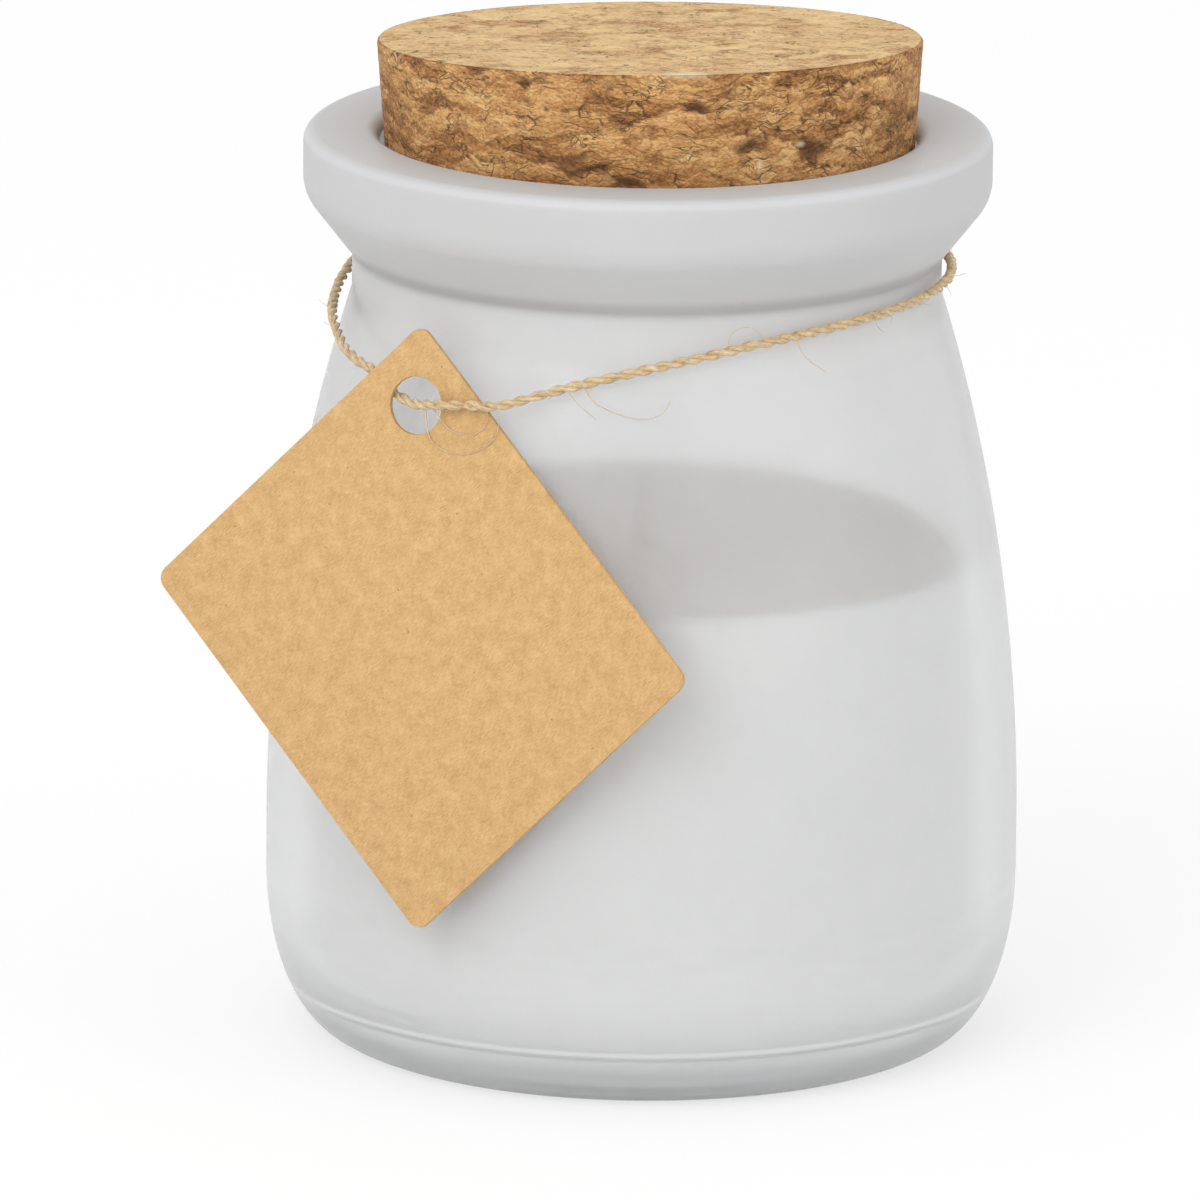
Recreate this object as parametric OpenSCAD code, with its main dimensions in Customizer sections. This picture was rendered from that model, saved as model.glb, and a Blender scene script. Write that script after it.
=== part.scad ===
// Frosted glass jar with a cork stopper. It holds a poured candle, and a card tag hangs on a
// twine tied round its neck. +Z is up and the jar stands on Z = 0, centred on the Z axis.
// Azimuths are measured from the front, -Y, and grow towards +X.

/* [Glass jar] */
// Outer diameter of the body at its widest
body_d = 66; // [55:1:80]
// Height of the glass from the table to the top of the rim
jar_h = 80.2; // [66:0.1:95]
// Wall of the body and the shoulder
wall = 2.6; // [1.8:0.1:3]
// Thickness of the glass under the candle, at the foot
floor_t = 4.4; // [3:0.1:7]

/* [Heel and foot] */
// How far the heel draws in from the body to the foot
heel_w = 6.4; // [3:0.1:10]
// Width of the ring that the jar stands on
foot_w = 2.5; // [1:0.5:5]
// Height of the hollow pushed up under the jar
pushup_h = 1.6; // [0.6:0.1:2.4]
// Height of the rounded heel outside
heel_h = 14.2; // [8:0.1:16]
// Width of the rounded corner inside, where floor meets wall
inner_heel_w = 4.5; // [2:0.5:7]
// Height of the rounded corner inside
inner_heel_h = 7; // [3:0.5:9]
// Height at which the side starts to draw in towards the shoulder
belly_h = 18.5; // [16:0.5:26]

/* [Lip and mouth] */
// Bore of the mouth
mouth_d = 46.8; // [38:0.2:50]
// Glass between the mouth's bore and the outside of the neck
neck_wall = 2.3; // [2:0.1:3.5]
// How far the lip stands out from the neck
lip_reach = 4.3; // [3:0.1:4.8]
// Height of the straight neck between shoulder and lip
neck_h = 3; // [2:0.1:5]
// Depth of the lip from the top of the rim to the neck
lip_h = 11.2; // [9:0.1:13]
// Flare of the underside of the lip from the vertical, in degrees
lip_flare = 38; // [32:1:50]
// Radius of the bulge under the lip
lip_bulge_r = 3.7; // [2:0.1:5]
// Radius of the outer edge of the rim
rim_outer_r = 1.2; // [0.8:0.1:3.2]
// Radius of the inner edge of the rim
rim_inner_r = 1.2; // [0.5:0.1:1.5]

/* [Cork stopper] */
// Whole height of the stopper
cork_h = 18; // [14:0.5:26]
// How far the stopper stands above the rim
cork_proud = 7.9; // [6:0.1:12]
// Taper of each side, in degrees
cork_taper = 4; // [2:0.5:7]
// Lean of the hand-pressed stopper, front edge up, in degrees
cork_lean = 4; // [0:0.5:4]
// Lean of the stopper to the side, right edge up, in degrees
cork_tip = 0.5; // [0:0.5:1.5]
// How far the stopper sits to the right in the mouth
cork_shift = 0.15; // [0:0.05:0.15]
// Bevel round both ends
cork_bevel = 0.4; // [0.2:0.1:1]
// Clearance between stopper and mouth where they meet
cork_gap = 0.3; // [0.2:0.05:0.5]

/* [Candle] */
// Depth of the poured wax above the glass floor
wax_depth = 38.6; // [20:0.2:42]
// Rise of the wax where it climbs the glass
meniscus_h = 0.6; // [0.2:0.1:1]
// Width of that climbing edge
meniscus_w = 2; // [1:0.5:4]
// Clearance between the wax and what it is cast round
wax_gap = 0.05; // [0.03:0.01:0.1]
// Diameter of the wick
wick_d = 1.8; // [1.2:0.1:2.6]
// Length of wick above the wax
wick_out = 7; // [4:0.5:10]
// Diameter of the wick's metal foot
sustainer_d = 15; // [10:0.5:20]
// Sheet thickness of the metal foot
sustainer_t = 0.4; // [0.2:0.1:0.8]
// Height of the collar that grips the wick
collar_h = 5; // [3:0.5:8]

/* [Hang tag] */
// Width of the card
tag_w = 34.5; // [26:0.5:40]
// Length of the card
tag_l = 39.5; // [30:0.5:46]
// Thickness of the card
tag_t = 0.5; // [0.3:0.1:0.8]
// Radius of its corners
tag_corner_r = 1.2; // [0.5:0.1:3]
// Punched hole
tag_hole_d = 5; // [4:0.5:6]
// Distance from the middle of the hole to both edges of its corner
tag_inset = 5; // [4:0.5:7]
// Clearance between card and shoulder where the card lies nearest
tag_gap = 0.35; // [0.3:0.05:1]

/* [Twine] */
// Diameter of the twine
twine_d = 0.9; // [0.6:0.1:1]
// Diameter of the knot
knot_d = 2.9; // [2.6:0.1:3.2]
// Length of the knot
knot_l = 4; // [3.4:0.2:5]

/* [Hidden] */

// Round parts are drawn with this many sides
$fn = 128;
// How far a cutter runs past both ends of what it cuts
past = 1;
// Steps along the edge where the wax climbs the glass
meniscus_steps = 6;

body_r = body_d / 2;
mouth_r = mouth_d / 2;
neck_r = mouth_r + neck_wall;
lip_r = neck_r + lip_reach;
foot_r = body_r - heel_w;
inner_r = body_r - wall;
lip_z = jar_h - lip_h;
neck_z = lip_z - neck_h;
wax_z = floor_t + wax_depth;

// The shoulder is one arc, upright at belly_h, that ends at the neck
shoulder_r = (pow(neck_z - belly_h, 2) + pow(body_r - neck_r, 2)) / (2 * (body_r - neck_r));
shoulder_x = body_r - shoulder_r;
// Height at which the inside of the shoulder meets the bore
bore_z = belly_h + sqrt(pow(shoulder_r - wall, 2) - pow(mouth_r - shoulder_x, 2));

// Small fillet where the lip springs from the neck
neck_fillet_r = 1;
// Height at which the bulge under the lip turns upright
bulge_z = lip_z + neck_fillet_r * sin(lip_flare) + lip_bulge_r * sin(lip_flare)
    + (lip_reach - (lip_bulge_r + neck_fillet_r) * (1 - cos(lip_flare))) / tan(lip_flare);
// The rim's outer edge, limited by the glass above the bulge
rim_r = min(rim_outer_r, jar_h - bulge_z);

// The card leans on the shoulder, top inward, turned to the front left
tag_azimuth = 28;
tag_lean = 9;
// Turn of the card in its own plane, so that the punched corner is on top
tag_turn = 46;
// Middle of the hole: how far below the lip and how far to the side of the card's azimuth
tag_drop = 8.5;
tag_side = -6.9;
touch_z = belly_h + shoulder_r * sin(tag_lean);
touch_r = body_r - shoulder_r * (1 - cos(tag_lean));
hole_z = lip_z - tag_drop;
hole_out = touch_r + (tag_gap + tag_t / 2) / cos(tag_lean) - (hole_z - touch_z) * tan(tag_lean);

// Unit vectors of the card: to the right, up along the card, and out of its face
card_right = [cos(tag_azimuth), -sin(tag_azimuth), 0];
card_flat = [-sin(tag_azimuth), -cos(tag_azimuth), 0];
card_up = [0, 0, cos(tag_lean)] - card_flat * sin(tag_lean);
card_out = [0, 0, sin(tag_lean)] + card_flat * cos(tag_lean);
hole_at = card_flat * hole_out + card_right * tag_side + [0, 0, hole_z];

// Route of the twine, laid by hand. Round the neck a point is its azimuth, its distance out
// from the neck and its distance below the lip
route_right = [
    [177, 1.5, 1], [167, 1.1, 0.9], [154, 0.9, 0.8], [140, 0.9, 0.8], [125, 0.9, 0.8],
    [110, 0.9, 0.8], [95, 0.9, 0.8], [80, 0.9, 0.8], [68, 0.9, 0.9], [56, 0.9, 1.1],
    [44, 0.9, 1.3], [32, 0.9, 1.7], [20, 1, 2.3], [8, 1.2, 3.3], [-4, 1.5, 4.5], [-15, 2.2, 5.9]];
// Near the card a point is its distance right, up and out from the middle of the hole
route_card = [
    [8.5, 1, 0.8], [5.5, 0.7, 1], [2.6, 0.4, 0.95], [0, 0.1, 0], [-2.5, 0.6, -0.95],
    [-4.8, 2.2, -1.2], [-8.6, 3.3, -3.2]];
route_left = [
    [-67, 3.2, 5], [-77, 2.3, 4.1], [-88, 1.5, 3.7], [-98, 1.1, 3], [-108, 0.9, 2.2],
    [-120, 0.9, 1.5], [-132, 0.9, 1.1], [-144, 0.9, 0.9], [-156, 0.9, 0.8], [-167, 1.1, 0.9],
    [-177, 1.5, 1]];
// The two cut ends hang from the knot
tail_right = [[178.5, 2, 1.6], [177, 2.9, 3], [175, 3.1, 5], [172, 3.6, 7.6], [170, 4.4, 9.6]];
tail_left = [[-178.5, 2, 1.6], [-177, 2.8, 3], [-176, 3, 4.6], [-174, 3.4, 6.4], [-170, 4.2, 8]];
// Distance of the middle of the knot out from the neck and below the lip
knot_at = [180, 1.9, 1.1];

function round_neck(p) =
    let (r = neck_r + p[1]) [r * sin(p[0]), -r * cos(p[0]), lip_z - p[2]];
function by_card(p) = hole_at + card_right * p[0] + card_up * p[1] + card_out * p[2];

twine_route = concat(
    [for (p = route_right) round_neck(p)],
    [for (p = route_card) by_card(p)],
    [for (p = route_left) round_neck(p)]);

// Points of an arc about c, from angle a0 to a1
function arc(c, r, a0, a1, n) =
    [for (i = [0:n]) let (a = a0 + (a1 - a0) * i / n) c + r * [cos(a), sin(a)]];

// Points of a quarter ellipse from below the centre c round to its side
function heel(c, w, h, n) =
    [for (i = [0:n]) let (a = 90 * i / n) c + [w * sin(a), -h * cos(a)]];

// Inside of the glass from the floor up to height top, drawn in by gap
function inside_wall(gap, top) = concat(
    heel([inner_r - inner_heel_w, floor_t + inner_heel_h], inner_heel_w - gap, inner_heel_h - gap, 8),
    [for (i = [0:16])
        let (z = belly_h + (top - belly_h) * i / 16)
        [shoulder_x + sqrt(pow(shoulder_r - wall - gap, 2) - pow(z - belly_h, 2)), z]]);

// Hollow under the jar, from the axis to the standing ring
function pushup(n) =
    let (a = foot_r - foot_w, r = (a * a + pushup_h * pushup_h) / (2 * pushup_h))
    [for (i = [0:n]) let (x = a * i / n) [x, pushup_h - r + sqrt(r * r - x * x)]];

function lip_outside() = concat(
    arc([neck_r + neck_fillet_r, lip_z], neck_fillet_r, 180, 180 - lip_flare, 4),
    arc([lip_r - lip_bulge_r, bulge_z], lip_bulge_r, -lip_flare, 0, 6),
    arc([lip_r - rim_r, jar_h - rim_r], rim_r, 0, 90, 8),
    arc([mouth_r + rim_inner_r, jar_h - rim_inner_r], rim_inner_r, 90, 180, 6));

function reverse(v) = [for (i = [len(v) - 1:-1:0]) v[i]];

module glass_jar() {
    shoulder_turn = asin((neck_z - belly_h) / shoulder_r);
    color([0.86, 0.89, 0.9, 0.6])
        rotate_extrude()
            polygon(concat(
                pushup(8),
                heel([foot_r, heel_h], heel_w, heel_h, 12),
                arc([shoulder_x, belly_h], shoulder_r, 0, shoulder_turn, 20),
                lip_outside(),
                reverse(inside_wall(0, bore_z)),
                [[0, floor_t]]));
}

module cork_stopper() {
    seat_z = jar_h - rim_inner_r;
    slope = tan(cork_taper);
    top_z = jar_h + cork_proud;
    low_z = top_z - cork_h;
    top_r = mouth_r - cork_gap + (top_z - seat_z) * slope;
    low_r = mouth_r - cork_gap + (low_z - seat_z) * slope;
    color([0.72, 0.53, 0.34])
        translate([cork_shift, 0, jar_h])
            rotate([-cork_lean, -cork_tip, 0])
                translate([0, 0, -jar_h])
                    rotate_extrude()
                        polygon([
                            [0, low_z], [low_r - cork_bevel, low_z],
                            [low_r + cork_bevel * slope, low_z + cork_bevel],
                            [top_r - cork_bevel * slope, top_z - cork_bevel],
                            [top_r - cork_bevel, top_z], [0, top_z]]);
}

module wax_fill() {
    bore_r = wick_d / 2 + wax_gap;
    collar_r = wick_d / 2 + sustainer_t + wax_gap;
    disc_r = sustainer_d / 2 + wax_gap;
    edge_r = shoulder_x
        + sqrt(pow(shoulder_r - wall - wax_gap, 2) - pow(wax_z + meniscus_h - belly_h, 2));
    color([0.96, 0.95, 0.92])
        rotate_extrude()
            polygon(concat(
                [[disc_r, floor_t + wax_gap]],
                inside_wall(wax_gap, wax_z + meniscus_h),
                [for (i = [1:meniscus_steps])
                    let (t = i / meniscus_steps)
                    [edge_r - meniscus_w * t, wax_z + meniscus_h * pow(1 - t, 2)]],
                [[bore_r, wax_z],
                 [bore_r, floor_t + collar_h + wax_gap],
                 [collar_r, floor_t + collar_h + wax_gap],
                 [collar_r, floor_t + sustainer_t + wax_gap],
                 [disc_r, floor_t + sustainer_t + wax_gap]]));
}

module wick() {
    tip_z = wax_z + wick_out;
    color([0.93, 0.9, 0.82])
        rotate_extrude()
            polygon(concat(
                [[0, floor_t]], [[wick_d / 2, floor_t]],
                arc([wick_d / 4, tip_z - wick_d / 4], wick_d / 4, 0, 90, 4),
                [[0, tip_z]]));
}

module wick_sustainer() {
    color([0.75, 0.76, 0.78])
        translate([0, 0, floor_t])
            difference() {
                union() {
                    cylinder(h = sustainer_t, d = sustainer_d);
                    cylinder(h = collar_h, d = wick_d + 2 * sustainer_t);
                }
                translate([0, 0, -past])
                    cylinder(h = collar_h + 2 * past, d = wick_d);
            }
}

// Outline of the card round its hole, which is at the origin
module card_outline() {
    low = [tag_inset - tag_w, tag_inset - tag_l];
    translate(low + [tag_corner_r, 0])
        square([tag_w - 2 * tag_corner_r, tag_l]);
    translate(low + [0, tag_corner_r])
        square([tag_w, tag_l - 2 * tag_corner_r]);
    for (x = [tag_corner_r, tag_w - tag_corner_r], y = [tag_corner_r, tag_l - tag_corner_r])
        translate(low + [x, y])
            circle(r = tag_corner_r, $fn = 48);
}

module hang_tag() {
    color([0.85, 0.68, 0.45])
        translate(hole_at)
            rotate([90 - tag_lean, 0, -tag_azimuth])
                rotate([0, 0, tag_turn])
                    translate([0, 0, -tag_t / 2])
                        linear_extrude(tag_t)
                            difference() {
                                card_outline();
                                circle(d = tag_hole_d, $fn = 64);
                            }
}

// A curve through all points of p, with n steps between two of them
function spline_at(a, b, c, d, t) =
    0.5 * (2 * b + (c - a) * t + (2 * a - 5 * b + 4 * c - d) * t * t
        + (3 * b - a - 3 * c + d) * t * t * t);
function smooth(p, n) = let (m = len(p) - 1) concat(
    [for (i = [0:m - 1], j = [0:n - 1])
        spline_at(p[max(i - 1, 0)], p[i], p[i + 1], p[min(i + 2, m)], j / n)],
    [p[m]]);

function unit(v) = v / norm(v);

// A round tube along the points of path, as one closed solid
module tube(path, d, ref) {
    sides = 8;
    m = len(path) - 1;
    rings = [for (i = [0:m])
        let (along = unit(path[min(i + 1, m)] - path[max(i - 1, 0)]),
             across = unit(cross(along, ref)),
             third = cross(across, along))
        for (k = [0:sides - 1])
            let (a = 360 * k / sides)
            path[i] + d / 2 * (across * cos(a) + third * sin(a))];
    walls = [for (i = [0:m - 1], k = [0:sides - 1])
        let (a = i * sides + k, b = i * sides + (k + 1) % sides)
        each [[a, b, a + sides], [b, b + sides, a + sides]]];
    polyhedron(rings, concat(
        walls,
        [[for (k = [sides - 1:-1:0]) k]],
        [[for (k = [0:sides - 1]) m * sides + k]]));
}

module twine_loop() {
    color([0.8, 0.7, 0.5])
        tube(smooth(twine_route, 2), twine_d, [0, 0, 1]);
}

module twine_knot() {
    color([0.8, 0.7, 0.5]) {
        translate(round_neck(knot_at))
            rotate([0, 90, 0])
                rotate_extrude()
                    polygon([for (i = [0:10])
                        let (a = 180 * i / 10)
                        [knot_d / 2 * sqrt(max(sin(a), 0)), -knot_l / 2 * cos(a)]]);
        for (tail = [tail_right, tail_left])
            tube(smooth([for (p = tail) round_neck(p)], 2), twine_d, [0, 1, 0]);
    }
}

glass_jar();
cork_stopper();
wax_fill();
wick();
wick_sustainer();
hang_tag();
twine_loop();
twine_knot();
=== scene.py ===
"""Looks of a jar candle: frosted glass, cork stopper, wax, card tag and twine.

All sizes are in metres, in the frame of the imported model: +Z is up, the jar stands on Z = 0
and -Y is the front. Azimuths are measured from the front and grow towards +X.
"""

import logging
import math
import random
from dataclasses import dataclass, field
from enum import Enum
from typing import Callable, Sequence, Union

import bpy
from mathutils import Matrix, Vector, noise


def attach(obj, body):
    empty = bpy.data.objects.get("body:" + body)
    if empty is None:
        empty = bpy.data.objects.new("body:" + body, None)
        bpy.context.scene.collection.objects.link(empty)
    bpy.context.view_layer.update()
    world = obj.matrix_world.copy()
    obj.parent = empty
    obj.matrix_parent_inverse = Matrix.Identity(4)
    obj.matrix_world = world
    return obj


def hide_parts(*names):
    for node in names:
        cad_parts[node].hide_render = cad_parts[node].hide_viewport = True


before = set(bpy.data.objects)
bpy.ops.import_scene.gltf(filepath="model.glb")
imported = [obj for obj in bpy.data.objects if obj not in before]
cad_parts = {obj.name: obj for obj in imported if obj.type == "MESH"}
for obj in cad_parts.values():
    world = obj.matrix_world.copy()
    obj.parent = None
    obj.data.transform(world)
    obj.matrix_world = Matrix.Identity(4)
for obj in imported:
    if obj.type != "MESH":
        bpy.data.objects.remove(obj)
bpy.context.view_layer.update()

log = logging.getLogger("jar_candle")

MM = 0.001
PHOTO_WIDTH = 1200
UP = Vector((0.0, 0.0, 1.0))

Colour = tuple[float, float, float]
Profile = list[tuple[float, float]]
Value = Union[float, Sequence[float], bpy.types.NodeSocket]


class Coords(Enum):
    """Where a material's pattern is measured."""

    OBJECT = "Object"
    UV = "UV"


class Slot(Enum):
    """Material slots of the record."""

    GLASS = "frosted_glass"
    CORK = "cork"
    WAX = "wax"
    WICK = "cotton_wick"
    CARD = "kraft_card"
    TWINE = "jute_twine"


# Materials


class Shader:
    """A material's node tree, built one node at a time."""

    def __init__(self, name: str) -> None:
        """Starts an empty tree with an output.

        Args:
            name: The material's name.
        """
        self.material = bpy.data.materials.new(name)
        self.material.use_nodes = True
        self.tree = self.material.node_tree
        self.tree.nodes.clear()
        self.output = self.tree.nodes.new("ShaderNodeOutputMaterial")

    def node(self, kind: str, inputs: dict, **settings: object) -> bpy.types.Node:
        """Adds a node.

        Args:
            kind: The node's type without its ShaderNode prefix.
            inputs: Values or links for its sockets, by name or number.
            settings: Properties of the node.

        Returns:
            The new node.
        """
        made = self.tree.nodes.new("ShaderNode" + kind)
        for key, setting in settings.items():
            setattr(made, key, setting)
        for key, value in inputs.items():
            self.plug(made.inputs[key], value)
        return made

    def plug(self, socket: bpy.types.NodeSocket, value: Value) -> None:
        """Links or sets a socket.

        Args:
            socket: The input to feed.
            value: An output socket, a number or a colour.
        """
        if isinstance(value, bpy.types.NodeSocket):
            self.tree.links.new(value, socket)
        elif socket.type == "RGBA" and len(value) == 3:
            socket.default_value = (*value, 1.0)
        else:
            socket.default_value = value

    def coords(self, kind: Coords, scale: Sequence[float] = (1, 1, 1),
               turn: Sequence[float] = (0, 0, 0)) -> bpy.types.NodeSocket:
        """Gives coordinates, stretched and turned.

        Args:
            kind: Object or UV coordinates.
            scale: Stretch along each axis.
            turn: Euler angles in radians.

        Returns:
            The vector socket.
        """
        source = self.node("TexCoord", {}).outputs[kind.value]
        return self.mapping(source, scale, turn)

    def mapping(self, vector: bpy.types.NodeSocket, scale: Sequence[float],
                turn: Sequence[float] = (0, 0, 0)) -> bpy.types.NodeSocket:
        """Stretches and turns a vector socket and returns the result."""
        made = self.node("Mapping", {"Vector": vector, "Rotation": turn, "Scale": scale})
        return made.outputs["Vector"]

    def noise(self, vector: bpy.types.NodeSocket, scale: float, detail: float = 3.0,
              roughness: float = 0.55) -> bpy.types.NodeSocket:
        """Gives fractal noise between 0 and 1 around 0.5."""
        made = self.node("TexNoise", {"Vector": vector, "Scale": scale, "Detail": detail,
                                      "Roughness": roughness})
        return made.outputs["Fac"]

    def warp(self, vector: bpy.types.NodeSocket, scale: float,
             amount: float) -> bpy.types.NodeSocket:
        """Shifts a vector by noise, so that what reads it loses its straight lines."""
        made = self.node("TexNoise", {"Vector": vector, "Scale": scale, "Detail": 2.0})
        centred = self.node("VectorMath", {0: made.outputs["Color"], 1: (0.5, 0.5, 0.5)},
                            operation="SUBTRACT")
        shifted = self.node("VectorMath", {0: centred.outputs[0], 1: (amount,) * 3, 2: vector},
                            operation="MULTIPLY_ADD")
        return shifted.outputs[0]

    def cells(self, vector: bpy.types.NodeSocket, scale: float,
              feature: str = "F1") -> bpy.types.Node:
        """Adds a Voronoi node and returns it."""
        return self.node("TexVoronoi", {"Vector": vector, "Scale": scale}, feature=feature)

    def maths(self, operation: str, a: Value, b: Value = 0.0,
              clamp: bool = False) -> bpy.types.NodeSocket:
        """Combines two numbers and returns the result."""
        made = self.node("Math", {0: a, 1: b}, operation=operation, use_clamp=clamp)
        return made.outputs[0]

    def span(self, value: Value, low: float, high: float, to_low: float = 0.0,
             to_high: float = 1.0) -> bpy.types.NodeSocket:
        """Maps low..high smoothly onto to_low..to_high, clamped."""
        made = self.node("MapRange", {"Value": value, "From Min": low, "From Max": high,
                                      "To Min": to_low, "To Max": to_high},
                         interpolation_type="SMOOTHSTEP")
        return made.outputs[0]

    def ramp(self, value: Value,
             stops: Sequence[tuple[float, Colour]]) -> bpy.types.NodeSocket:
        """Turns a number into a colour.

        Args:
            value: The number.
            stops: Positions and linear colours, in order.

        Returns:
            The colour socket.
        """
        made = self.node("ValToRGB", {"Fac": value})
        points = made.color_ramp.elements
        while len(points) < len(stops):
            points.new(0.5)
        for point, (position, colour) in zip(points, stops):
            point.position = position
            point.color = (*colour, 1.0)
        return made.outputs["Color"]

    def blend(self, factor: Value, a: Value, b: Value,
              mode: str = "MIX") -> bpy.types.NodeSocket:
        """Mixes two colours and returns the result."""
        made = self.node("Mix", {0: factor, 6: a, 7: b}, data_type="RGBA", blend_type=mode)
        return made.outputs[2]

    def attribute(self, name: str) -> bpy.types.NodeSocket:
        """Gives a number that the mesh stores at its points."""
        return self.node("Attribute", {}, attribute_name=name).outputs["Fac"]

    def bump(self, height: bpy.types.NodeSocket, depth: float,
             normal: Union[bpy.types.NodeSocket, None] = None) -> bpy.types.NodeSocket:
        """Turns a height between 0 and 1 into a normal.

        Args:
            height: The height.
            depth: What a height of 1 means, in metres.
            normal: A normal to add to.

        Returns:
            The normal socket.
        """
        inputs = {"Height": height, "Distance": depth, "Strength": 1.0}
        if normal is not None:
            inputs["Normal"] = normal
        return self.node("Bump", inputs).outputs["Normal"]

    def finish(self, shader: bpy.types.NodeSocket) -> bpy.types.Material:
        """Links the surface and returns the material."""
        self.plug(self.output.inputs["Surface"], shader)
        return self.material


@dataclass(frozen=True)
class FrostedGlass:
    """Satin etched glass: part clear but rough, part a thin white skin that scatters."""

    tint: Colour = (0.985, 0.99, 0.99)
    # Painted shade: a darker tint for the clear part of the glass above the wax, where the empty
    # jar looks greyer.
    empty_glass_shade: Colour = (0.865, 0.87, 0.875)
    empty_glass_shade_z: float = 0.043
    # Painted shade: a dark tint for the base band, standing in for the floor's shade seen through
    # the thick base.
    base_shade_tint: Colour = (0.34, 0.345, 0.35)
    body: Colour = (0.885, 0.89, 0.895)
    lip: Colour = (0.60, 0.603, 0.607)
    # Painted shade: a darker grey for the band in the crease under the lip.
    crease_shade: Colour = (0.48, 0.482, 0.487)
    # Painted highlight: a paler grey for a thin line along the rim's outer edge.
    edge: Colour = (0.65, 0.65, 0.67)
    roughness: float = 0.18
    ior: float = 1.45
    body_skin: float = 0.39
    heel_skin: float = 0.25
    lip_skin: float = 0.96
    lip_from: float = 0.0625
    lip_full: float = 0.0705
    crease_z: float = 0.0697
    rim_highlight_z: float = 0.0797
    base_z: float = 0.0028

    def make(self) -> bpy.types.Material:
        """Builds the etched outside, whose skin hides what the lip surrounds."""
        s = Shader("frosted_glass")
        place = s.coords(Coords.OBJECT)
        height = s.node("SeparateXYZ", {0: place}).outputs["Z"]
        cloud = s.noise(place, 60.0, 3.0)
        cover = s.span(height, self.lip_from, self.lip_full, self.body_skin, self.lip_skin)
        by_heel = s.maths("MULTIPLY", s.span(height, self.base_z, self.base_z + 0.004),
                          s.span(height, 0.010, 0.015, self.heel_skin, 0.0))
        cover = s.maths("ADD", s.maths("ADD", cover, by_heel),
                        s.span(cloud, 0.3, 0.7, -0.015, 0.015), clamp=True)
        grain = s.bump(s.noise(place, 5000.0, 2.0), 0.00002)
        # The base band takes the dark tint, as painted shade.
        low = s.span(height, self.base_z, self.base_z + 0.002, 1.0, 0.0)
        # Above the wax the glass takes the darker tint, as painted shade.
        high = s.span(height, self.empty_glass_shade_z, self.empty_glass_shade_z + 0.001)
        shade_tinted = s.blend(low, s.blend(high, self.tint, self.empty_glass_shade), self.base_shade_tint)
        clear = s.node("BsdfPrincipled", {
            "Base Color": shade_tinted,
            "Roughness": self.roughness, "IOR": self.ior, "Transmission Weight": 1.0})
        from_crease = s.maths("ABSOLUTE", s.maths("SUBTRACT", height, self.crease_z))
        from_rim_highlight = s.maths("ABSOLUTE", s.maths("SUBTRACT", height, self.rim_highlight_z))
        tone = s.blend(s.span(height, self.lip_from, self.lip_full), self.body, self.lip)
        # The skin darkens in the crease under the lip, as painted shade.
        tone = s.blend(s.span(from_crease, 0.0002, 0.0012, 1.0, 0.0), tone, self.crease_shade)
        # A thin paler line along the rim, as painted highlight.
        tone = s.blend(s.span(from_rim_highlight, 0.0001, 0.0004, 1.0, 0.0), tone, self.edge)
        lit = s.node("BsdfPrincipled", {
            "Base Color": tone, "Roughness": 0.5, "IOR": self.ior, "Normal": grain})
        through = s.node("BsdfTranslucent", {"Color": self.body})
        share = s.span(height, self.lip_from, self.lip_full, 0.5, 0.2)
        skin = s.node("MixShader", {0: share, 1: lit.outputs[0], 2: through.outputs[0]})
        both = s.node("MixShader", {0: cover, 1: clear.outputs[0], 2: skin.outputs[0]})
        return s.finish(both.outputs[0])


@dataclass(frozen=True)
class ClearGlass:
    """The fire-polished inside of the jar."""

    tint: Colour = (0.99, 0.99, 0.99)
    roughness: float = 0.06
    ior: float = 1.48

    def make(self) -> bpy.types.Material:
        """Builds plain smooth glass with faint waves."""
        s = Shader("clear_glass")
        waves = s.bump(s.noise(s.coords(Coords.OBJECT, (1, 1, 0.3)), 90.0, 2.0), 0.00005)
        glass = s.node("BsdfPrincipled", {
            "Base Color": self.tint, "Roughness": self.roughness, "IOR": self.ior,
            "Transmission Weight": 1.0, "Normal": waves})
        return s.finish(glass.outputs[0])


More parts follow.
